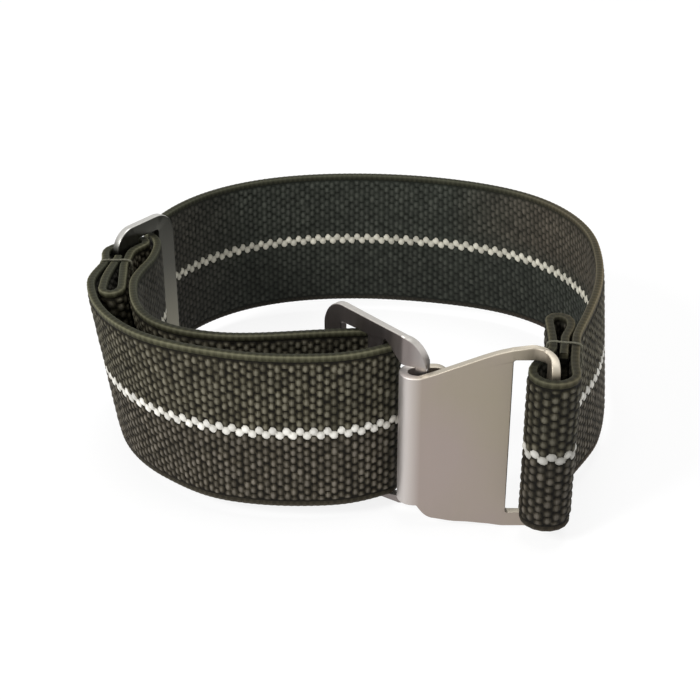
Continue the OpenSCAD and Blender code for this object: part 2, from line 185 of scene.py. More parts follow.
HOOK_STITCH, HOOK_STITCH_DIR = HOOK_PIVOT + [1.85, 6.05], 80.0
HOOK_STRAND = HOOK_STITCH - LAYER * leftward(HOOK_STITCH_DIR)
HOOK_RETURN = HOOK_STITCH + LAYER * leftward(HOOK_STITCH_DIR)
HOOK_LEAD = 2.0                             # straight webbing past the stitches
HOOK_PAST = HOOK_STITCH + HOOK_LEAD * along(HOOK_STITCH_DIR)
RIGHT_FROM = HOOK_STRAND + HOOK_LEAD * along(HOOK_STITCH_DIR)
HOOK_ROLL_R, HOOK_ROLL_LEN, HOOK_ROLL_DIR = 1.25, 6.8, HOOK_STITCH_DIR + 5
HOOK_TIP = drop(HOOK_STITCH + HOOK_ROLL_LEN * along(HOOK_ROLL_DIR), HOOK_ROLL_R, HOOK_ROLL_DIR)

# Slider: one flat sheet. The other sewn end goes round its lower bar.
SLIDER_ORIGIN, SLIDER_DIR = np.array([-30.3, 0.3]), 54.0
SEWN_BAR, SLIDER_LEN = 3.9, 10.6
SLIDER_LOOP_R = STEEL_T / 2 + BAR_GAP + BAND_T / 2


def on_slider(u, v):
    return SLIDER_ORIGIN + u * along(SLIDER_DIR) + v * leftward(SLIDER_DIR)


SLIDER_STITCH = SLIDER_ORIGIN + [0.58, -3.1]
SLIDER_STRAND = SLIDER_STITCH - [LAYER, 0]
SLIDER_RETURN = SLIDER_STITCH + [LAYER, 0]
SLIDER_LEAD = 2.0
OUTER_LEFT_FROM = SLIDER_STRAND - [0, SLIDER_LEAD]
SLIDER_ROLL_R, SLIDER_ROLL_LEN, SLIDER_ROLL_DIR = 1.15, 8.0, -77
SLIDER_TIP = drop(SLIDER_STITCH + SLIDER_ROLL_LEN * along(SLIDER_ROLL_DIR), SLIDER_ROLL_R, -90)
ROUND_CORNER_DIR = 80
ROUND_CORNER = on_slider(0, STEEL_T / 2) + (BAND_T / 2 + BAR_GAP) * leftward(ROUND_CORNER_DIR)
BESIDE, WITHIN = SEWN_BAR * 0.62, SEWN_BAR * 0.75

# The inner layer crosses the slider's slot and passes behind its upper end
CROSS_TURN = 78                             # from the slider's direction to the layer's
CROSS_DIR = SLIDER_DIR + CROSS_TURN
CROSS_COS, CROSS_SIN = along(CROSS_TURN)
CROSS_HALF = (BAND_T + STEEL_T * CROSS_COS) / CROSS_SIN / 2
CROSS_AT = on_slider(SEWN_BAR + SLIDER_LOOP_R + BAND_T / 2 + SLOT_GAP + CROSS_HALF, 0)
PAST_SLIDER, PAST_SLIDER_DIR = on_slider(SLIDER_LEN, 0) + [-1.9, 2.3], 70
INNER_SIDE = SLIDER_STITCH + [4.12, -2.2]
INNER_FRONT, INNER_FRONT_DIR = FRONT + [-10, 5.6], 165

# Bows that two pieces share, and the share of each at which they meet
OUTER_LEFT_BOW = (FRONT, 180, 0.387, OUTER_LEFT_FROM, 90, 0.44)
INNER_LEFT_BOW = (INNER_FRONT, INNER_FRONT_DIR, 0.386, INNER_SIDE, 90, 0.446)
BACK_LEFT_BOW = (PAST_SLIDER, PAST_SLIDER_DIR, 0.261, BACK, 0, 0.538)
OUTER_CUT, INNER_CUT, BACK_CUT = 0.56, 0.5, 0.3

PATHS = {
    "outer_front": join(
        arc(RECEIVER_PIVOT, RECEIVER_LOOP_R, INNER_DIR - 90, OUTER_DIR - 270),
        bow(OUTER_START, OUTER_DIR, 0.4, FRONT, 180, 0.46),
        bow(*OUTER_LEFT_BOW, 0, OUTER_CUT)),
    "outer_left": bow(*OUTER_LEFT_BOW, OUTER_CUT, 1),
    "inner_front": join(
        bow(INNER_START, INNER_DIR, 0.41, INNER_FRONT, INNER_FRONT_DIR, 0.267),
        bow(*INNER_LEFT_BOW, 0, INNER_CUT)),
    "inner_side": join(
        bow(*INNER_LEFT_BOW, INNER_CUT, 1),
        bow(INNER_SIDE, 90, 0.36, CROSS_AT, CROSS_DIR, 0.31)),
    "inner_upper": join(
        bow(CROSS_AT, CROSS_DIR, 0.44, PAST_SLIDER, PAST_SLIDER_DIR, 0.4),
        bow(*BACK_LEFT_BOW, 0, BACK_CUT)),
    "back": join(
        bow(*BACK_LEFT_BOW, BACK_CUT, 1),
        bow(BACK, 0, 0.43, RIGHT, -90, 0.37)),
    "right": backwards(bow(RIGHT_FROM, HOOK_STITCH_DIR, 0.118, RIGHT, 90, 0.555)),
    "hook_end": join(
        run(RIGHT_FROM, HOOK_STITCH_DIR + 180, HOOK_LEAD),
        bow(HOOK_STRAND, HOOK_STITCH_DIR - 180, 0.33, HOOK_PIVOT + [HOOK_LOOP_R, 0], -90, 0.33),
        arc(HOOK_PIVOT, HOOK_LOOP_R, 0, -180),
        bow(HOOK_PIVOT - [HOOK_LOOP_R, 0], 90, 0.36, HOOK_RETURN, HOOK_STITCH_DIR, 0.33),
        bow(HOOK_RETURN, HOOK_STITCH_DIR, 0.2, HOOK_TIP[0][:2], HOOK_ROLL_DIR, 0.45),
        HOOK_TIP,
        bow(HOOK_TIP[-1][:2], HOOK_ROLL_DIR - 180, 0.4, HOOK_PAST, HOOK_STITCH_DIR - 180, 0.3),
        run(HOOK_PAST, HOOK_STITCH_DIR - 180, HOOK_LEAD + RAW_END)),
    "slider_end": join(
        run(OUTER_LEFT_FROM, 90, SLIDER_LEAD),
        bow(SLIDER_STRAND, 96, 0.4, ROUND_CORNER, ROUND_CORNER_DIR, 0.3),
        bow(ROUND_CORNER, ROUND_CORNER_DIR, 0.4, on_slider(BESIDE, SLIDER_LOOP_R), SLIDER_DIR, 0.33),
        run(on_slider(BESIDE, SLIDER_LOOP_R), SLIDER_DIR, SEWN_BAR - BESIDE),
        arc(on_slider(SEWN_BAR, 0), SLIDER_LOOP_R, SLIDER_DIR + 90, SLIDER_DIR - 90),
        run(on_slider(SEWN_BAR, -SLIDER_LOOP_R), SLIDER_DIR - 180, SEWN_BAR - WITHIN),
        bow(on_slider(WITHIN, -SLIDER_LOOP_R), SLIDER_DIR - 180, 0.3, SLIDER_RETURN, -90, 0.6),
        bow(SLIDER_RETURN, -90, 0.2, SLIDER_TIP[0][:2], -90, 0.45),
        SLIDER_TIP,
        bow(SLIDER_TIP[-1][:2], 90, 0.4, SLIDER_STITCH, 90, 0.3),
        run(SLIDER_STITCH, 90, RAW_END)),
}


# Camera and light, in metres

PHOTO_WIDTH, FOCAL = 700, 1442              # pixels
SENSOR = 36                                 # millimetres
CAMERA_AT, PITCH = (-0.00045, -0.1670, 0.0981), 28
NEAR, FAR = 0.01, 10
LAMPS_AIM = (0, 0, 0.012)
LAMPS = [("key", (-0.42, -0.34, 0.40), 3.0, 0.20),      # name, place, watts and width
         ("top", (0.05, 0.10, 0.65), 1.9, 0.40),
         ("side", (0.50, -0.18, 0.30), 0.3, 0.35)]
SOFT_LIGHT = 0.32
WHITE, PAPER = (1, 1, 1, 1), (0.9, 0.9, 0.9, 1)
FLOOR_GLOW, GLOW_SHARE = 1.06, 0.8
FLOOR_HALF, FLOOR_DROP = 3.0, 0.00005


def camera():
    cam = bpy.data.objects.new("camera", bpy.data.cameras.new("camera"))
    bpy.context.scene.collection.objects.link(cam)
    cam.data.sensor_width = SENSOR
    cam.data.lens = FOCAL / PHOTO_WIDTH * SENSOR
    cam.data.clip_start, cam.data.clip_end = NEAR, FAR
    cam.location = CAMERA_AT
    cam.rotation_euler = (math.radians(90 - PITCH), 0, 0)
    bpy.context.scene.camera = cam


def lamp(name, place, power, size):
    light = bpy.data.lights.new(name, "AREA")
    light.shape, light.size, light.energy = "DISK", size, power
    ob = bpy.data.objects.new(name, light)
    bpy.context.scene.collection.objects.link(ob)
    ob.location = place
    ob.rotation_euler = (Vector(LAMPS_AIM) - Vector(place)).to_track_quat("-Z", "Y").to_euler()


class Nodes:
    """Short calls that add and link shader nodes."""

    def __init__(self, tree):
        self.tree = tree
        tree.nodes.clear()

    def add(self, kind, props=None, **inputs):
        """Each input is named as its socket, with _ for a space, or as _ and the socket's number."""
        node = self.tree.nodes.new(kind)
        for key, value in (props or {}).items():
            setattr(node, key, value)
        for key, value in inputs.items():
            self.put(node.inputs[int(key[1:]) if key[0] == "_" else key.replace("_", " ")], value)
        return node

    def put(self, socket, value):
        if isinstance(value, bpy.types.NodeSocket):
            self.tree.links.new(value, socket)
        else:
            socket.default_value = value

    def math(self, op, a, b=0.0, clamp=False):
        node = self.add("ShaderNodeMath", {"operation": op, "use_clamp": clamp}, _0=a, _1=b)
        return node.outputs[0]

    def weighted(self, *parts):
        """The sum of values, each times its weight."""
        total = None
        for value, weight in parts:
            part = self.math("MULTIPLY", value, weight)
            total = part if total is None else self.math("ADD", total, part)
        return total

    def attribute(self, name, out="Fac"):
        return self.add("ShaderNodeAttribute", {"attribute_name": name}).outputs[out]

    def axis(self, vector, name):
        return self.add("ShaderNodeSeparateXYZ", Vector=vector).outputs[name]

    def stretched(self, vector, scales):
        node = self.add("ShaderNodeVectorMath", {"operation": "MULTIPLY"}, _0=vector, _1=scales)
        return node.outputs[0]

    def noise(self, vector, scale, detail, roughness=0.5):
        settings = {"Scale": scale, "Detail": detail, "Roughness": roughness}
        return self.add("ShaderNodeTexNoise", Vector=vector, **settings).outputs[0]

    def remap(self, value, a0, a1, b0, b1):
        node = self.add("ShaderNodeMapRange", Value=value)
        for i, v in enumerate((a0, a1, b0, b1)):
            node.inputs[1 + i].default_value = v
        return node.outputs[0]

    def share(self, value, start, end):
        """0 at start and 1 at end."""
        return self.remap(value, start, end, 0.0, 1.0)

    def ramp(self, factor, stops):
        node = self.add("ShaderNodeValToRGB", Fac=factor)
        ramp = node.color_ramp
        while len(ramp.elements) < len(stops):
            ramp.elements.new(0.5)
        for element, (place, colour) in zip(ramp.elements, stops):
            element.position = place
            element.color = (*colour, 1)
        return node.outputs["Color"]

    def mix(self, factor, a, b, blend="MIX"):
        node = self.add("ShaderNodeMix", {"data_type": "RGBA", "blend_type": blend})
        self.put(node.inputs[0], factor)
        self.put(node.inputs[6], a)
        self.put(node.inputs[7], b)
        return node.outputs[2]

    def tinted(self, colour, amount, tint):
        """A colour, multiplied by a tint where the amount is 1."""
        return self.mix(amount, colour, self.mix(1.0, colour, (*tint, 1), "MULTIPLY"))

    def scaled(self, colour, factor):
        """A colour times a number."""
        grey = self.add("ShaderNodeCombineColor", Red=factor, Green=factor, Blue=factor).outputs[0]
        return self.mix(1.0, colour, grey, "MULTIPLY")

    def bump(self, shader, strength, depth, height):
        node = self.add("ShaderNodeBump", Strength=strength, Distance=depth, Height=height)
        self.put(shader.inputs["Normal"], node.outputs[0])


def seen_rays(n):
    """1 for camera, glossy and transmission rays."""
    light = n.add("ShaderNodeLightPath").outputs
    both = n.math("ADD", light["Is Camera Ray"], light["Is Glossy Ray"], True)
    return n.math("ADD", both, light["Is Transmission Ray"], True)


def soft_sky():
    """White to the eye, and dimmer as light."""
    world = bpy.data.worlds.new("studio")
    bpy.context.scene.world = world
    world.use_nodes = True
    n = Nodes(world.node_tree)
    soft = n.add("ShaderNodeBackground", Color=WHITE, Strength=SOFT_LIGHT)
    white = n.add("ShaderNodeBackground", Color=WHITE, Strength=1.0)
    mix = n.add("ShaderNodeMixShader", _0=seen_rays(n), _1=soft.outputs[0], _2=white.outputs[0])
    n.add("ShaderNodeOutputWorld", Surface=mix.outputs[0])


def pale_floor():
    mesh = bpy.data.meshes.new("floor")
    corners = [(a * FLOOR_HALF, b * FLOOR_HALF, 0) for a, b in ((-1, -1), (1, -1), (1, 1), (-1, 1))]
    mesh.from_pydata(corners, [], [(0, 1, 2, 3)])
    floor = bpy.data.objects.new("floor", mesh)
    bpy.context.scene.collection.objects.link(floor)
    floor.location.z = -FLOOR_DROP
    material = bpy.data.materials.new("pale_floor")
    material.use_nodes = True
    n = Nodes(material.node_tree)
    paper = n.add("ShaderNodeBsdfDiffuse", Color=PAPER)
    glow = n.add("ShaderNodeEmission", Color=WHITE, Strength=FLOOR_GLOW)
    seen = n.add("ShaderNodeMixShader", _0=GLOW_SHARE, _1=paper.outputs[0], _2=glow.outputs[0])
    mix = n.add("ShaderNodeMixShader", _0=seen_rays(n), _1=paper.outputs[0], _2=seen.outputs[0])
    n.add("ShaderNodeOutputMaterial", Surface=mix.outputs[0])
    mesh.materials.append(material)


# Materials. A ramp's stops are places and colours, from the gaps between the yarns to their tops.

# The yarn ramps paint shade into the gaps and highlights onto the tops
OUTER_YARN = [(0.10, (0.005, 0.004, 0.002)), (0.40, (0.021, 0.018, 0.010)),
              (0.62, (0.056, 0.050, 0.032)), (0.96, (0.172, 0.159, 0.119))]
# The inner face has the same yarn, darker as painted shade
SHADED_INNER_YARN = [(0.10, (0.009, 0.0105, 0.0075)), (0.34, (0.0165, 0.0185, 0.0145)),
              (0.62, (0.0245, 0.027, 0.0215)), (0.95, (0.048, 0.051, 0.042))]
WHITE_YARN = [(0.0, (0.32, 0.30, 0.25)), (0.25, (0.62, 0.60, 0.54)), (0.8, (0.84, 0.82, 0.76))]
OUTER_RIM = [(0.15, (0.012, 0.0100, 0.0050)), (0.40, (0.042, 0.0405, 0.0215)),
             (0.90, (0.145, 0.140, 0.088))]
# Rims on the inner face, darker as painted shade
SHADED_INNER_RIM = [(0.15, (0.008, 0.009, 0.006)), (0.40, (0.026, 0.0265, 0.016)),
             (0.90, (0.075, 0.076, 0.050))]
SEWING_THREAD = [(0.2, (0.035, 0.034, 0.02)), (0.9, (0.26, 0.25, 0.18))]
# Tints, which multiply a colour
# The inner white is painted shade on the white beads of the inner face
LESS_GREEN, SHADED_INNER_WHITE = (1.01, 0.97, 1.06), (0.82, 0.81, 0.745)
# The right tint paints light on the inner face
LIT_BROWN_RIGHT, BROWN_LEFT = (1.75, 1.40, 1.33), (1.10, 0.96, 0.96)
RIM_RIGHT, RIM_LOW = (1.75, 1.50, 1.50), (0.72, 0.64, 0.76)
# Spans over which a tint comes in: heights from the webbing's middle in millimetres, and x in metres
BELOW_STRIPE, UPPER_HALF, FOOT = (0.2, -0.8), (-1.0, 3.0), (-7.0, -9.0)
FAR_RIGHT, FAR_LEFT, RIM_FAR_RIGHT = (0.014, 0.027), (-0.016, -0.024), (0.020, 0.030)
# Brightness: a span and the brightness at its two ends. Across a bead this is a painted highlight, up
# the inner face painted shade, and by tone each bead's own tone with painted shade on whole pieces
HIGHLIGHT_ACROSS_BEAD, SHADE_UP_INNER_FACE, BY_TONE = (0.15, 1.1, 1.0, 0.56), (-7.0, 6.0, 0.9, 1.5), (-1, 1, 0.46, 1.18)
# The painted highlight on each bead is centred at LIT_SIDE
LIT_SIDE = 0.3                              # where a bead is brightest, as a share of its half width
NOISE = (0.3, 0.7)                          # a noise stays mostly within this
FIBRES_SHOW, CLOUDS_SHOW = 0.11, 0.08
FIBRE_STRETCH = (11.0, 1.3, 1.0)            # the yarn's fibres are finest along the webbing
STRIPE_FULL = 0.12                          # height of a white bead from which it is all white
# Steel stains: a span in metres and the stain at its two ends, and where the colour is cool and warm
STAIN_BY_HEIGHT, STAIN_BY_X = (0.001, 0.023, 0.27, 0.10), (0.009, 0.018, 0.10, -0.06)
COOL_AT, WARM_AT = 0.34, 0.66
STAIN_SCALE, STAIN_SHARE = 75.0, 0.6
FIBRE_DEPTH, THREAD_DEPTH, BRUSH_DEPTH = 0.00007, 0.00005, 0.00003      # bumps, in metres


def material_of(name):
    material = bpy.data.materials.new(name)
    material.use_nodes = True
    n = Nodes(material.node_tree)
    shader = n.add("ShaderNodeBsdfPrincipled")
    n.add("ShaderNodeOutputMaterial", Surface=shader.outputs[0])
    return material, n, shader


def webbing_material():
    """Nylon weave. The mesh carries each bead's height, kind and tone; the nodes add yarn."""
    material, n, shader = material_of("nylon_weave")
    bead, stripe, tone, place_across_bead = (n.attribute(name) for name in ("bead", "stripe", "tone", "place_across_bead"))
    inner, edge, ribs, line = (n.attribute(name) for name in ("inner", "edge", "ribs", "line"))
    cloth = n.attribute("cloth", "Vector")
    height = n.axis(cloth, "Y")
    place = n.axis(n.add("ShaderNodeTexCoord").outputs["Object"], "X")
    fibres = n.noise(n.stretched(cloth, FIBRE_STRETCH), 1.0, 3.0, 0.6)
    cloud = n.noise(cloth, 0.22, 2.0)

    # Painted highlight: each bead is brightest to one side of its middle and darker towards its edges
    aside = n.math("SUBTRACT", place_across_bead, n.remap(inner, 0.0, 1.0, LIT_SIDE, -LIT_SIDE))
    lit = n.math("MULTIPLY", bead, n.remap(n.math("ABSOLUTE", aside), *HIGHLIGHT_ACROSS_BEAD))
    lit = n.math("ADD", lit, n.remap(fibres, *NOISE, -FIBRES_SHOW, FIBRES_SHOW))

    # The outer face is less green below the stripe
    outer = n.tinted(n.ramp(lit, OUTER_YARN), n.share(height, *BELOW_STRIPE), LESS_GREEN)

    # Painted shade: the inner face darkens towards its foot. Painted light makes it lighter and browner
    # high up at the right, and it is a little browner at the left.
    inside = n.scaled(n.ramp(lit, SHADED_INNER_YARN), n.remap(height, *SHADE_UP_INNER_FACE))
    right = n.math("MULTIPLY", n.share(place, *FAR_RIGHT), n.share(height, *UPPER_HALF))
    inside = n.tinted(inside, right, LIT_BROWN_RIGHT)
    inside = n.tinted(inside, n.share(place, *FAR_LEFT), BROWN_LEFT)
    colour = n.mix(inner, outer, inside)

    # The ribbed rims carry a painted highlight line on their rounded edge. They are lighter and redder
    # at the right, and darker at the foot
    thread = n.weighted((fibres, 0.45), (ribs, 0.15), (line, 0.55))
    rim = n.mix(inner, n.ramp(thread, OUTER_RIM), n.ramp(thread, SHADED_INNER_RIM))
    rim = n.tinted(rim, n.share(place, *RIM_FAR_RIGHT), RIM_RIGHT)
    rim = n.tinted(rim, n.share(height, *FOOT), RIM_LOW)
    colour = n.mix(edge, colour, rim)

    # White beads on the inner face are darker, as painted shade
    pale = n.tinted(n.ramp(lit, WHITE_YARN), inner, SHADED_INNER_WHITE)
    colour = n.mix(n.share(stripe, 0.0, STRIPE_FULL), colour, pale)
    # Each bead's own tone and clouds, with painted shade on whole pieces through their tone
    shade = n.math("ADD", n.remap(tone, *BY_TONE), n.remap(cloud, *NOISE, -CLOUDS_SHOW, CLOUDS_SHOW))
    n.put(shader.inputs["Base Color"], n.scaled(colour, shade))
    n.put(shader.inputs["Roughness"], n.remap(fibres, 0.2, 0.8, 0.62, 0.85))
    shader.inputs["Specular IOR Level"].default_value = 0.15
    n.bump(shader, 0.7, FIBRE_DEPTH, fibres)
    return material


def thread_material():
    """Twisted sewing thread, with its lay as bump."""
    material, n, shader = material_of("sewing_thread")
    cloth = n.attribute("cloth", "Vector")
    lay = n.add("ShaderNodeTexWave", {"wave_type": "BANDS", "bands_direction": "DIAGONAL"},
                Vector=cloth, Scale=1.6, Distortion=0.4).outputs[1]
    mixed = n.weighted((lay, 0.6), (n.noise(cloth, 6.0, 3.0), 0.5))
    n.put(shader.inputs["Base Color"], n.ramp(mixed, SEWING_THREAD))
    shader.inputs["Roughness"].default_value = 0.7
    n.bump(shader, 0.7, THREAD_DEPTH, mixed)
    return material


def steel_material(name, cool, warm, rough, stretch, contrast, painted_light):
    """Brushed steel, cool above and warm below, with faint stains. stretch is the brushing's scale on
    each axis, per metre. Each painted light is an axis or the upward facing, its span, and the tint it
    ends in, which paints light onto the steel."""
    material, n, shader = material_of(name)
    place = n.add("ShaderNodeTexCoord").outputs["Object"]
    axes = n.add("ShaderNodeSeparateXYZ", Vector=place).outputs
    up = n.axis(n.add("ShaderNodeNewGeometry").outputs["Normal"], "Z")
    lines = n.noise(n.stretched(place, stretch), 1.0, 6.0, 0.65)
    patch = n.noise(place, STAIN_SCALE, 3.0)
    stains = n.math("MULTIPLY", patch, STAIN_SHARE)
    stains = n.math("ADD", stains, n.remap(axes["Z"], *STAIN_BY_HEIGHT))
    stains = n.math("ADD", stains, n.remap(axes["X"], *STAIN_BY_X))
    colour = n.ramp(stains, [(COOL_AT, cool), (WARM_AT, warm)])
    for axis, start, end, tint in painted_light:
        value = up if axis == "up" else axes[axis]
        colour = n.mix(n.share(value, start, end), colour, (*tint, 1))
    colour = n.scaled(colour, n.remap(lines, *NOISE, 1 - contrast, 1 + contrast))
    n.put(shader.inputs["Base Color"], colour)
    n.put(shader.inputs["Roughness"], n.math("ADD", n.remap(lines, *NOISE, rough - 0.04, rough + 0.04),
                                             n.remap(patch, 0.45, 0.75, 0.0, 0.08)))
    shader.inputs["Metallic"].default_value = 1.0
    n.bump(shader, 0.12, BRUSH_DEPTH, lines)
    return material


# Webbing

ROW, BEAD_ROWS = 1.09, 17                   # height of one bead, and beads up a face
BEAD_RUN = (0, 0.12, 0.37, 0.63, 0.88)      # mesh rings along a bead, closest at its ends
BEAD_RISE = (0.14, 0.25, 0.36, 0.64, 0.75, 0.86)        # and up it: beads meet at 0.25 and 0.75
STAGGER = 0.25                              # columns are shifted up or down by this share of a bead
CORE = 0.40                                 # half thickness between the beads
RIB = 0.03                                  # how far the ribs stand out on the rims
RIM_PLACES = 5                              # places of the section between a face and the very edge
BEAD_TALL, WHITE_TALL = 0.56, 0.48          # half heights of the beads
WHITE_WIDE = 0.61                           # half width of a white bead, as a share of the pitch
ALONG_POWER, DARK_POWER, WHITE_POWER, BULGE = 2.1, 3.0, 2.3, 0.55       # how square and full beads are
STRAY_ALONG, STRAY_UP = 0.035, 0.05
BEAD_SIZES, BEAD_LIFTS = (0.92, 1.06), (0.8, 1.05)
SPARE = 3                                   # rows of beads drawn past each edge of a face
FACE_FADE = 0.3                             # share of a bead in which the relief ends at a face's edge
SNUG_RUN = 6                                # length in which a snug end grows narrower
STRIPE_EDGE = 0.75                          # how far a dark bead covers the stripe beside it
FACES_APART = 7                             # from the very edge to a face in the cloth's own coordinates
ROUNDING = 1e-9

# How far the free webbing leans, as a share of its height, and where the leaning grows
LEFT_LEAN, LEFT_X, LEFT_Y = 0.135, (-14, -24), (-1, -9)
RIGHT_LEAN, RIGHT_X, RIGHT_Y = 0.085, (8, 22), (-25, -14)
RIGHT_OUT = 0.4                             # how far the right side stands out
CORNER, CORNER_REACH, CORNER_OUT = (25, 18), 8, (0.4, 0.7)      # the fuller bend at the back right

# The map for baking: the girth, the share of its room that it takes, and the row of end faces above
GIRTH, GIRTH_SHARE = 2 * BAND_W + 3, 0.97
END_RUN, END_GAP, END_TALL = 0.9, 0.004, 0.008

rng = np.random.default_rng(7)


def growing(value, start, end):
    """0 at start and 1 at end, with a soft rise between."""
    t = np.clip((value - start) / (end - start), 0, 1)
    return t * t * (3 - 2 * t)


def slackened(x, y, z):
    """The free webbing at both sides leans to the left, and is fuller at the right and the back right.
    Beside the steel it stands straight."""
    left = growing(y, *LEFT_Y) * growing(x, *LEFT_X)
    right = growing(y, *RIGHT_Y) * growing(x, *RIGHT_X)
    corner = np.exp(-((x - CORNER[0]) ** 2 + (y - CORNER[1]) ** 2) / (2 * CORNER_REACH ** 2))
    lean = (LEFT_LEAN * left + RIGHT_LEAN * right) * (z - MID_Z)
    return x - lean + RIGHT_OUT * right + CORNER_OUT[0] * corner, y + CORNER_OUT[1] * corner


def row_places():
    """Heights of the mesh's rows on one face, in beads from the middle."""
    inside = [row + rise for row in range(-BEAD_ROWS // 2, BEAD_ROWS // 2 + 1) for rise in BEAD_RISE]
    ends = BEAD_ROWS / 2
    return np.array([-ends] + [place for place in inside if abs(place) < ends - 0.01] + [ends])


def cross_section():
    """Round the webbing: the distance out and the height, the outward direction in both, 1 on a face
    and 0 on a rim, which side it is, and how strongly the painted highlight line on the rim shows."""
    half = BEAD_ROWS * ROW / 2
    top = BAND_W / 2
    zs = row_places() * ROW
    # The last number in each is the painted highlight line
    rim = [(0.44, half + 0.05, 1, 0.1, 0.05),
           (0.48, (half + top) / 2 - 0.1, 1, 0, 0.15),
           (0.47, top - 0.21, 0.9, 0.4, 0.55),
           (0.41, top - 0.06, 0.7, 0.7, 1.0),
           (0.28, top, 0.3, 0.9, 0.2)]
    over = [(n, z, a, b, 0, 1, line) for n, z, a, b, line in rim]
    over += [(0, top - 0.02, 0, 1, 0, 0, 0)]
    over += [(-n, z, -a, b, 0, -1, line) for n, z, a, b, line in rim[::-1]]
    rows = [(CORE, z, 1, 0, 1, 1, 0) for z in zs] + over
    rows += [(-CORE, z, -1, 0, 1, -1, 0) for z in zs[::-1]]
    rows += [(-n, -z, -a, -b, face, -side, line) for n, z, a, b, face, side, line in over]
    return np.array(rows, float).T


def dome(across, rise, wide, tall, power):
    rest = 1 - np.abs(across / wide) ** ALONG_POWER - np.abs(rise / tall) ** power
    return np.clip(rest, 0, 1) ** BULGE


def bead_fields(s, up, back, pitch, columns, parity, wide):
    """Heights of the dark and the white beads, each bead's tone, and the place across it."""
    shape = (columns + 2, BEAD_ROWS + 2 * SPARE, 2)
    off_s, off_z = rng.normal(0, STRAY_ALONG, shape), rng.normal(0, STRAY_UP, shape)
    size, lift = rng.uniform(*BEAD_SIZES, shape), rng.uniform(*BEAD_LIFTS, shape)
    tone = rng.uniform(0, 1, shape)
    cell = np.minimum(np.floor(s / pitch + ROUNDING), columns - 1).astype(int)
    dark = np.zeros((len(s), len(up)))
    white, tones, place_across_bead = dark.copy(), dark + 0.5, dark.copy()
    for step in (0, -1, 1):
        col = np.clip(cell + step, -1, columns)[:, None]
        shift = np.where((col + parity) % 2 == 0, STAGGER, -STAGGER)
        row = np.round(up[None, :] - shift).astype(int)
        at = (col + 1 + np.zeros_like(row), np.clip(row + BEAD_ROWS // 2 + SPARE, 0, shape[1] - 1),
              back[None, :] + np.zeros_like(row))
        across = s[:, None] - (col + 0.5) * pitch - off_s[at]
        rise = (up[None, :] - row - shift) * ROW - off_z[at] * (row != 0)
        pale = row == 0
        h = dome(across, rise, wide * size[at], BEAD_TALL * size[at], DARK_POWER) * lift[at] * ~pale
        w = dome(across, rise, WHITE_WIDE * pitch, WHITE_TALL, WHITE_POWER) * pale
        best = np.maximum(h, w) > np.maximum(dark, white)
        tones = np.where(best, tone[at], tones)
        place_across_bead = np.where(best, across / wide, place_across_bead)
        dark, white = np.maximum(dark, h), np.maximum(white, w)
    return dark, white, tones, place_across_bead


def tube_faces(count, around):
    """Quads along the webbing, the strips that close its two ends, and the triangles at their tips."""
    i, j = np.meshgrid(np.arange(count - 1), np.arange(around), indexing="ij")
    jn = (j + 1) % around
    quads = np.stack([i * around + j, (i + 1) * around + j, (i + 1) * around + jn, i * around + jn], -1)

    # The strips join opposite places of the section
    low, tip = RIM_PLACES, len(row_places()) + RIM_PLACES
    left = [(around - low + k) % around for k in range(low + tip)]
    right = [around - low - 2 - k for k in range(low + tip)]
    strips = np.array([(left[k], left[k + 1], right[k + 1], right[k]) for k in range(len(left) - 1)])
    tips = np.array([(around - low - 2, around - low - 1, around - low), (tip - 1, tip, tip + 1)])
    last = (count - 1) * around
    return (quads.reshape(-1, 4), np.vstack([strips[:, ::-1], strips + last]),
            np.vstack([tips[:, ::-1], tips + last]))


def tube_mesh(name, co, fours, threes):
    """A mesh of quads and triangles, all smooth."""
    mesh = bpy.data.meshes.new(name)
    mesh.vertices.add(len(co))
    mesh.vertices.foreach_set("co", co.ravel())
    corners = np.concatenate([fours.ravel(), threes.ravel()]).astype(np.int32)
    mesh.loops.add(len(corners))
    mesh.loops.foreach_set("vertex_index", corners)
    mesh.polygons.add(len(fours) + len(threes))
    starts = np.concatenate([np.arange(len(fours)) * 4, fours.size + np.arange(len(threes)) * 3])
    mesh.polygons.foreach_set("loop_start", starts.astype(np.int32))
    mesh.update(calc_edges=True)
    mesh.polygons.foreach_set("use_smooth", np.ones(len(starts), bool))
    return mesh


def bake_map(s, section, strip_count, tip_count):
    """One even map of the unrolled webbing, with the faces of its ends in a row above."""
    scale = 1 / max(s[-1], GIRTH)
    us = s * scale
    vs = travelled(np.vstack([section, section[:1]])) * scale * GIRTH_SHARE
    i, j = np.meshgrid(np.arange(len(s) - 1), np.arange(len(section)), indexing="ij")
    i, j = i.ravel(), j.ravel()
    uv = [np.column_stack([us[i + a], vs[j + b]]) for a, b in ((0, 0), (1, 0), (1, 1), (0, 1))]
    uv = [np.stack(uv, axis=1).reshape(-1, 2)]
    marks = np.linspace(0, END_RUN * us[-1], strip_count + tip_count + 1)
    foot = vs[-1] + END_GAP
    top = foot + END_TALL
    for k, (a, b) in enumerate(zip(marks, marks[1:])):
        corners = [(a, foot), (b, foot), (b, top), (a, top)]
        uv.append(corners if k < strip_count else corners[:3])
    return np.vstack(uv)


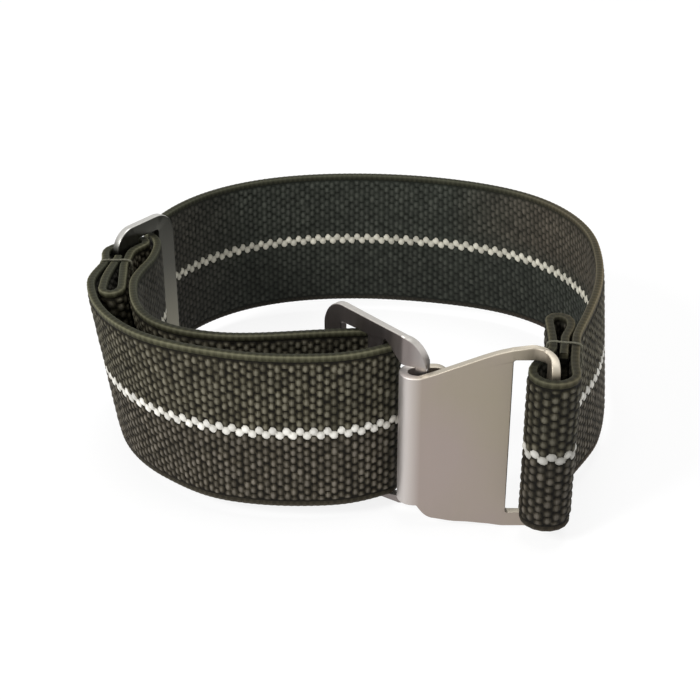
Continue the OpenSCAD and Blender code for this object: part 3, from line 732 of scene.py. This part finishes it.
def make_webbing(name, path, pitch, parity=0, fade_in=0.0, tone=0.0, wide=0.46, snug=0.0):
    """One length of relief webbing along a path. wide is half a bead's width. The outside takes the
    inner face's painted shade over the first fade_in, and snug is the share by which the rest is narrower.
    tone shifts the brightness of the whole piece, as painted shade."""
    raw = travelled(path[:, :2])[-1]
    columns = max(2, 2 * round(raw / pitch / 2))
    shares = np.append(np.add.outer(np.arange(columns), BEAD_RUN).ravel(), columns) / columns
    rings, length = resample(path, shares)
    section_n, section_z, out_n, out_z, face, side, line = cross_section()
    count, around = len(rings), len(face)
    s, up = shares * length, section_z / ROW
    dark, white, tones, place_across_bead = bead_fields(s, up, (out_n < 0).astype(int), length / columns, columns,
                                          parity, wide)
    envelope = np.clip((BEAD_ROWS / 2 - np.abs(up)) / FACE_FADE, 0, 1) * face
    height = np.maximum(dark, white) * envelope
    ribs = 0.5 + 0.5 * np.cos(2 * np.pi * s / (length / columns))

    relief = (BAND_T / 2 - CORE) * height + np.outer(ribs, RIB * (1 - face))
    n = section_n + relief * out_n
    z = section_z + relief * out_z + BAND_Z + BAND_W / 2
    z = MID_Z + (z - MID_Z) * (1 - snug * growing(s, 0, SNUG_RUN))[:, None]
    x, y, heading = rings[:, 0:1], rings[:, 1:2], rings[:, 2:3]
    x, y = slackened(x - n * np.sin(heading), y + n * np.cos(heading), z)
    co = np.stack([x - MID[0], y - MID[1], z], axis=-1).reshape(-1, 3) * MM
    quads, strips, tips = tube_faces(count, around)
    mesh = tube_mesh(name, co, np.vstack([quads, strips]), tips)
    uv = bake_map(s, np.column_stack([section_n, section_z]), len(strips), len(tips))
    mesh.uv_layers.new(name="OFBake").data.foreach_set("uv", uv.astype(np.float32).ravel())

    everywhere = np.ones((count, around))
    # The inner face, and the outside over fade_in, take the inner colours, which are painted shade
    inner = np.clip(0.5 - side, 0, 1) * everywhere
    if fade_in:
        inner = np.maximum(inner, np.clip(1 - s / fade_in, 0, 1)[:, None])
    values = {
        "bead": np.where(face > 0, height, 0.5),
        "stripe": (white - dark * STRIPE_EDGE) * envelope,
        "inner": inner,
        "edge": (1 - face) * everywhere,
        "tone": np.where(face > 0, tones, 0.5) + tone,
        "place_across_bead": place_across_bead * face,
        "ribs": ribs[:, None] * everywhere,
        "line": line * everywhere,
    }
    for key, value in values.items():
        data = mesh.attributes.new(key, "FLOAT", "POINT").data
        data.foreach_set("value", value.ravel().astype(np.float32))
    cloth = np.stack([s[:, None] * everywhere, section_z * everywhere, side * FACES_APART * everywhere], -1)
    data = mesh.attributes.new("cloth", "FLOAT_VECTOR", "POINT").data
    data.foreach_set("vector", cloth.reshape(-1).astype(np.float32))
    mesh.validate()

    ob = bpy.data.objects.new(name, mesh)
    bpy.context.scene.collection.objects.link(ob)
    ob.data.materials.append(NYLON)
    return ob


# Steel plates

SLOT_TOP, SLOT_FOOT = 22.5, 1.9             # the slots' edges in the solids
STILL_LOW, STILL_HIGH = 4, 20               # heights between which the rails' edges don't move
EDGE_ROLL, ROLL_STEPS = 0.14, 3             # width of a rolled edge, and the faces across it
SAME_VERTEX = 2e-6                          # metres
FLAT_ANGLE, SHARP_ANGLE, CREASE_ANGLE = math.radians(0.6), math.radians(28), math.radians(40)

# Hook: distances from the fold, with the heights there or the change in height
HOOK_TOP = ((0, 1.6, 4, 7, 8.6, 10.3), (19.75, 20.3, 21.25, 22.4, 22.95, 23.35))
HOOK_RAIL_FROM = 10.29                      # just before the strap slot
HOOK_RAIL_TOP = ((10.3, 12.4, 13.4, 15.2), (23.35, 23.62, 23.6, 23.1))
HOOK_SLOT_TOP = 22.1
HOOK_FOOT_DROP = ((0, 1.6, 4, 6, 8.5), (-0.9, -1.1, -0.9, -0.4, 0))
TONGUE_TOP = 20.75                          # the tongue's upper edge is below this in the solids
TONGUE_DROP, TONGUE_SPAN = 1.0, (14, 18)
FOLD_FULLER, FOLD_SPAN = 0.4, (0.6, -1.0)

# Receiver: spans of x with what changes there
RAILS_GROW, TOP_DROP, FOOT_RISE = (2.5, 6.5), 0.6, 1.9
SLOT_END, SLOT_FOOT_RISE = (4.75, 5.6), 0.75
RECEIVER_SLOT_TOP = ((2.7, 3.7, 4.75, 5.6), (22.15, 22.5, 22.5, 20.3))


def hook_outline(x, z):
    """The upper edge runs in one line from the fold to the curl; the fold sits lower and is fuller."""
    u = x - HOOK_FOLD_X
    x -= FOLD_FULLER * growing(u, *FOLD_SPAN)
    if z < MID_Z:
        return x, z + np.interp(u, *HOOK_FOOT_DROP)
    if u > HOOK_RAIL_FROM:
        top = np.interp(u, *HOOK_RAIL_TOP)
        return x, np.interp(z, (STILL_HIGH, SLOT_TOP, PLATE_H), (STILL_HIGH, HOOK_SLOT_TOP, top))
    if z > TONGUE_TOP:
        return x, np.interp(u, *HOOK_TOP)
    return x, z - TONGUE_DROP * growing(z, *TONGUE_SPAN)


def receiver_outline(x, z):
    """Both rails grow deeper towards the hook, and the lower one rises."""
    share = np.interp(x, RAILS_GROW, (0, 1))
    heights = (0, SLOT_FOOT, STILL_LOW, STILL_HIGH, SLOT_TOP, PLATE_H)
    moved = (FOOT_RISE * share, SLOT_FOOT + SLOT_FOOT_RISE * np.interp(x, SLOT_END, (0, 1)),
             STILL_LOW, STILL_HIGH, np.interp(x, *RECEIVER_SLOT_TOP), PLATE_H - TOP_DROP * share)
    return x, np.interp(z, heights, moved)


def make_plate(name, node, material, outline=None):
    """The CAD node's shape with rolled edges, as a piece of its own."""
    bm = bmesh.new()
    bm.from_mesh(frame["nodes"][node].data)
    bmesh.ops.remove_doubles(bm, verts=bm.verts, dist=SAME_VERTEX)
    bmesh.ops.dissolve_limit(bm, angle_limit=FLAT_ANGLE, verts=bm.verts, edges=bm.edges)
    if outline:
        for v in bm.verts:
            x, z = outline(v.co.x / MM + MID[0], v.co.z / MM)
            v.co.x, v.co.z = (x - MID[0]) * MM, z * MM
    sharp = [e for e in bm.edges if len(e.link_faces) == 2 and e.calc_face_angle() > SHARP_ANGLE]
    bmesh.ops.bevel(bm, geom=sharp, offset=EDGE_ROLL * MM, offset_type="OFFSET", segments=ROLL_STEPS,
                    profile=0.5, affect="EDGES", clamp_overlap=False)
    bmesh.ops.remove_doubles(bm, verts=bm.verts, dist=SAME_VERTEX / 2)
    bmesh.ops.recalc_face_normals(bm, faces=bm.faces)
    bmesh.ops.triangulate(bm, faces=[f for f in bm.faces if len(f.verts) > 4])
    mesh = bpy.data.meshes.new(name)
    bm.to_mesh(mesh)
    bm.free()
    mesh.polygons.foreach_set("use_smooth", np.ones(len(mesh.polygons), bool))
    mesh.set_sharp_from_angle(angle=CREASE_ANGLE)
    mesh.materials.clear()
    mesh.materials.append(material)
    ob = bpy.data.objects.new(name, mesh)
    bpy.context.scene.collection.objects.link(ob)
    weighted = ob.modifiers.new("flat faces stay flat", "WEIGHTED_NORMAL")
    weighted.keep_sharp = True
    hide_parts(node)
    return ob


# Stitches

THREAD_SIDES, THREAD_STEP, THREAD_ENDS = 8, 0.09, 0.35          # the ends are this share as thick
PLIES, PLY_DEPTH, PLY_TWIST = 3, 0.16, 4.2                      # twist in radians per millimetre
SMOOTHINGS = 3
HOLES, STITCH = 10, 2.0                     # needle holes in a row, and the height of a stitch
PROUD = 0.05                                # how far the thread's middle lies off the webbing
# One stitch: the rise from its lower hole, the depth in the webbing and the shift along it
STITCH_FORM = [(0.0, 0.55, 0), (0.12, 0.02, 0), (0.5, -0.06, 0.03), (1.0, -0.09, 0),
               (1.5, -0.06, -0.03), (1.88, 0.02, 0), (2.0, 0.55, 0)]
# Over an edge: the side from -1 to 1, and the shift along the webbing
OVER_FORM = [(-0.55, 0.05), (0, -0.05), (0.55, 0.05)]
TOP_LIFT, FOOT_LIFT = 0.14, 0.10            # how far it stands off the upper and the lower edge
OVER_DEPTH = 0.3                            # its depth in its hole and where it turns over the edge
LEAVES_HOLE, NEARS_EDGE, TURNS_AT = 0.3, 0.15, 0.6      # rises, and the share of the lift at the turn
# Directions that the thread's rings start from: the second for a thread that starts upright
FIRST_ASIDE, UPRIGHT_ASIDE = np.array([0.31, 0.2, 0.93]), np.array([1.0, 0.2, 0.1])
UPRIGHT = 0.9


def thread_rings(line, radius):
    """Rings of places along one twisted thread, and the distance and angle at each place."""
    s = travelled(line)
    count = max(6, int(s[-1] / THREAD_STEP))
    at = np.linspace(0, s[-1], count + 1)
    pts = np.column_stack([np.interp(at, s, line[:, k]) for k in range(3)])
    for _ in range(SMOOTHINGS):
        pts[1:-1] = (pts[:-2] + 2 * pts[1:-1] + pts[2:]) / 4
    tangent = np.gradient(pts, axis=0)
    tangent /= np.linalg.norm(tangent, axis=1)[:, None]
    u = FIRST_ASIDE if abs(tangent[0][2]) < UPRIGHT else UPRIGHT_ASIDE
    verts, marks = [], []
    for k, (p, t) in enumerate(zip(pts, tangent)):
        u = u - t * u.dot(t)
        u /= np.linalg.norm(u)
        w = np.cross(t, u)
        thick = radius * (THREAD_ENDS if k in (0, count) else 1)
        for m in range(THREAD_SIDES):
            a = 2 * np.pi * m / THREAD_SIDES
            lobe = 1 + PLY_DEPTH * np.cos(PLIES * (a - at[k] * PLY_TWIST))
            verts.append((p + thick * lobe * (np.cos(a) * u + np.sin(a) * w)) * MM)
            marks.append((at[k], a, 0))
    return verts, marks


def make_thread(name, lines, radius, material):
    """Twisted threads as one mesh: each line is a list of points in millimetres."""
    verts, faces, marks = [], [], []
    for line in lines:
        start = len(verts)
        ring_verts, ring_marks = thread_rings(np.array(line, float), radius)
        verts += ring_verts
        marks += ring_marks
        last = len(verts) - THREAD_SIDES
        for low in range(start, last, THREAD_SIDES):
            for m in range(THREAD_SIDES):
                q = (m + 1) % THREAD_SIDES
                faces.append((low + m, low + q, low + THREAD_SIDES + q, low + THREAD_SIDES + m))
        faces.append(tuple(start + m for m in range(THREAD_SIDES))[::-1])
        faces.append(tuple(last + m for m in range(THREAD_SIDES)))
    mesh = bpy.data.meshes.new(name)
    mesh.from_pydata([tuple(v) for v in verts], [], faces)
    mesh.polygons.foreach_set("use_smooth", np.ones(len(mesh.polygons), bool))
    attribute = mesh.attributes.new("cloth", "FLOAT_VECTOR", "POINT")
    attribute.data.foreach_set("vector", np.array(marks, np.float32).ravel())
    mesh.materials.append(material)
    ob = bpy.data.objects.new(name, mesh)
    bpy.context.scene.collection.objects.link(ob)
    return ob


def stitch_lines(middle, direction):
    """Lock stitches up both faces of a sewn end, and one more over each edge."""
    out, across = along(direction), leftward(direction)
    half = LAYER + BAND_T / 2 + PROUD
    first = BAND_Z + (BAND_W - (HOLES - 1) * STITCH) / 2
    last = first + (HOLES - 1) * STITCH
    place = np.asarray(middle) - MID

    def at(side, z, depth=0.0, shift=0.0):
        p = place + across * side * (half - depth) + out * shift
        return (p[0], p[1], z)

    def up_side(side, hole, edge, lift):
        """From a hole to the edge beyond it. lift is negative at the lower edge."""
        way = math.copysign(1, lift)
        return [at(side, hole, OVER_DEPTH), at(side, hole + way * LEAVES_HOLE),
                at(side, edge - way * NEARS_EDGE), at(side, edge + lift * TURNS_AT, OVER_DEPTH)]

    lines = [[at(side, first + STITCH * i + rise, depth, shift) for rise, depth, shift in STITCH_FORM]
             for side in (-1, 1) for i in range(HOLES - 1)]
    for hole, edge, lift in ((last, BAND_Z + BAND_W, TOP_LIFT), (first, BAND_Z, -FOOT_LIFT)):
        over = [at(side, edge + lift, 0, shift) for side, shift in OVER_FORM]
        lines.append(up_side(-1, hole, edge, lift) + over + up_side(1, hole, edge, lift)[::-1])
    return lines


camera()
soft_sky()
pale_floor()
for settings in LAMPS:
    lamp(*settings)

NYLON = webbing_material()
THREAD = thread_material()
# Painted light on the steel: highlights on faces turned up, on the hook's fold and on the receiver's bend,
# and the slider painted lighter towards its foot
HOOK_STEEL = steel_material(
    "hook_steel", cool=(0.318, 0.280, 0.215), warm=(0.345, 0.290, 0.262), rough=0.48,
    stretch=(2600.0, 2600.0, 260.0), contrast=0.025,
    painted_light=[("up", 0.35, 0.85, (0.44, 0.40, 0.33)), ("X", 0.0076, 0.0058, (0.57, 0.53, 0.505))])
PLATE_STEEL = steel_material(
    "plate_steel", cool=(0.195, 0.168, 0.158), warm=(0.220, 0.192, 0.182), rough=0.34,
    stretch=(1900.0, 1900.0, 300.0), contrast=0.05,
    painted_light=[("X", 0.0062, 0.0084, (0.40, 0.375, 0.36)), ("up", 0.3, 0.8, (0.46, 0.44, 0.41))])
SLIDER_STEEL = steel_material(
    "slider_steel", cool=(0.062, 0.062, 0.054), warm=(0.090, 0.088, 0.076), rough=0.34,
    stretch=(1900.0, 1900.0, 300.0), contrast=0.05,
    painted_light=[("Z", 0.017, 0.004, (0.200, 0.190, 0.150)), ("up", 0.3, 0.8, (0.50, 0.49, 0.46))])

# Lengths of a bead along the webbing, and radii of the threads
FRONT_PITCH, BACK_PITCH, LOOP_PITCH = 0.79, 0.735, 0.88
HOOK_THREAD_R, SLIDER_THREAD_R = 0.12, 0.13


# A piece's tone darkens it as painted shade: the inner front between the layers, the right side and the
# hook's loop
piece = make_webbing("webbing_front", PATHS["outer_front"], FRONT_PITCH, fade_in=7.0)
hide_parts("band_outer_front")
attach(piece, "band")

piece = make_webbing("webbing_left", PATHS["outer_left"], FRONT_PITCH)
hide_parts("band_outer_left")
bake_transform(piece)

piece = make_webbing("webbing_inner_front", PATHS["inner_front"], BACK_PITCH, parity=1, tone=-0.8)
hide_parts("band_inner_front")
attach(piece, "band")

piece = make_webbing("webbing_inner_side", PATHS["inner_side"], BACK_PITCH, parity=1)
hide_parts("band_inner_left")
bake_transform(piece)

piece = make_webbing("webbing_inner_upper", PATHS["inner_upper"], BACK_PITCH, parity=1)
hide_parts("band_inner_left")
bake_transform(piece)

piece = make_webbing("webbing_back", PATHS["back"], BACK_PITCH, parity=1)
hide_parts("band_back")
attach(piece, "band")

piece = make_webbing("webbing_right", PATHS["right"], FRONT_PITCH, parity=1, tone=-0.3)
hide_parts("band_right")
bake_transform(piece)

piece = make_webbing("webbing_hook_end", PATHS["hook_end"], LOOP_PITCH, parity=1, tone=-0.9, wide=0.49,
                     snug=0.03)
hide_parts("hook_end_loop")
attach(piece, "hook_end")

piece = make_webbing("webbing_slider_end", PATHS["slider_end"], FRONT_PITCH)
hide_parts("slider_end_loop")
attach(piece, "slider_end")

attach(make_plate("hook", "hook_plate", HOOK_STEEL, hook_outline), "hook")
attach(make_plate("receiver", "receiver_plate", PLATE_STEEL, receiver_outline), "receiver")
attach(make_plate("slider_bar", "slider_frame", SLIDER_STEEL), "slider")

hook_lines = stitch_lines(HOOK_STITCH, HOOK_STITCH_DIR)
piece = make_thread("hook_end_stitches", hook_lines, HOOK_THREAD_R, THREAD)
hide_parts("hook_end_stitching")
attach(piece, "hook_end")

slider_lines = stitch_lines(SLIDER_STITCH, 90)
piece = make_thread("slider_end_stitches", slider_lines, SLIDER_THREAD_R, THREAD)
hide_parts("slider_end_stitching")
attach(piece, "slider_end")

bpy.context.scene.view_settings.view_transform = "Standard"
bpy.context.view_layer.update()
